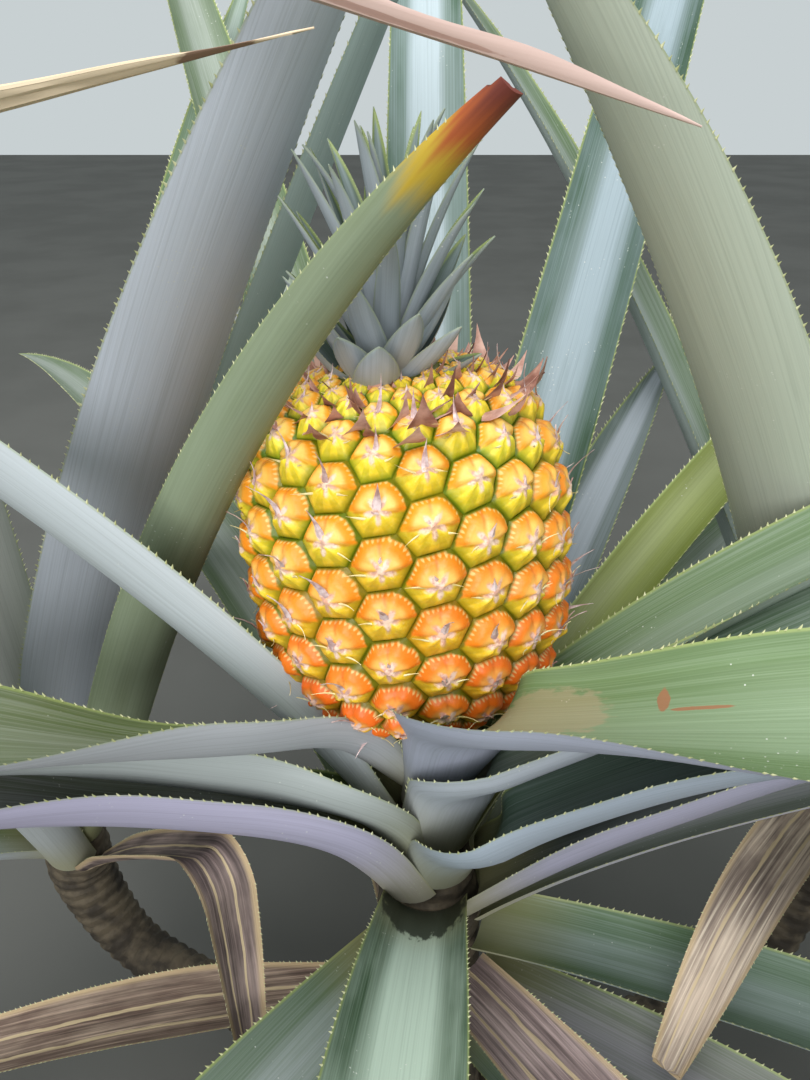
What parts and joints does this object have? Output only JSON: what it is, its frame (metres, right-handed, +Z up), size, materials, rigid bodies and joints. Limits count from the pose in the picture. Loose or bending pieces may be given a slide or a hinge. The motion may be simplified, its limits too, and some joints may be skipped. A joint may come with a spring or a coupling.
{
  "type": "pineapple plant",
  "caption": "Pineapple plant in fruit: channelled toothed leaves round a short stem, a stalk with one ripe fruit and its crown, and side shoots from the same root.",
  "frame": {"origin": "centre of the flat cut under the main stem, at ground level", "axes": "+Z up the stem, -Y towards the viewer of the picture, +X to the viewer's right"},
  "size_m": [1.2107, 1.0807, 0.7939],
  "materials": {
    "stem": "matte",
    "leaf": "satin",
    "dry": "matte",
    "fruit": "satin",
    "crown": "satin"
  },
  "bodies": {
    "root": {"main_stem": "stem", "left_shoot_stem": "stem", "right_shoot_stem": "stem", "fruit_stalk": "stem", "fruit": "fruit", "crown": "crown", "stalk_leaf_right": "leaf", "stalk_leaf_left": "leaf", "stalk_leaf_back": "leaf", "stalk_leaf_far": "leaf", "heart_leaf_01": "leaf", "heart_leaf_02": "leaf", "heart_leaf_03": "leaf", "heart_leaf_04": "leaf", "heart_leaf_05": "leaf", "heart_leaf_06": "leaf", "heart_leaf_07": "leaf", "heart_leaf_08": "leaf", "heart_leaf_09": "leaf", "heart_leaf_10": "leaf", "heart_leaf_11": "leaf", "outer_leaf_01": "leaf", "outer_leaf_02": "leaf", "outer_leaf_03": "leaf", "outer_leaf_05": "leaf", "outer_leaf_06": "leaf", "outer_leaf_07": "leaf", "outer_leaf_08": "leaf", "outer_leaf_09": "leaf", "outer_leaf_11": "leaf", "outer_leaf_10": "leaf", "outer_leaf_04": "leaf", "left_shoot_leaf_1": "leaf", "left_shoot_leaf_2": "leaf", "left_shoot_leaf_3": "leaf", "left_shoot_leaf_4": "leaf", "left_shoot_leaf_5": "leaf", "left_shoot_leaf_6": "leaf", "left_shoot_leaf_7": "leaf", "left_shoot_leaf_8": "leaf", "left_shoot_leaf_9": "leaf", "right_shoot_leaf_1": "leaf", "right_shoot_leaf_2": "leaf", "right_shoot_leaf_3": "leaf", "right_shoot_leaf_4": "leaf", "right_shoot_leaf_5": "leaf", "right_shoot_leaf_6": "leaf", "right_shoot_leaf_7": "leaf", "dry_leaf_1": "dry", "dry_leaf_2": "dry", "dry_leaf_3": "dry", "dry_leaf_4": "dry", "dry_leaf_5": "dry", "dry_leaf_6": "dry"}
  },
  "joints": []
}
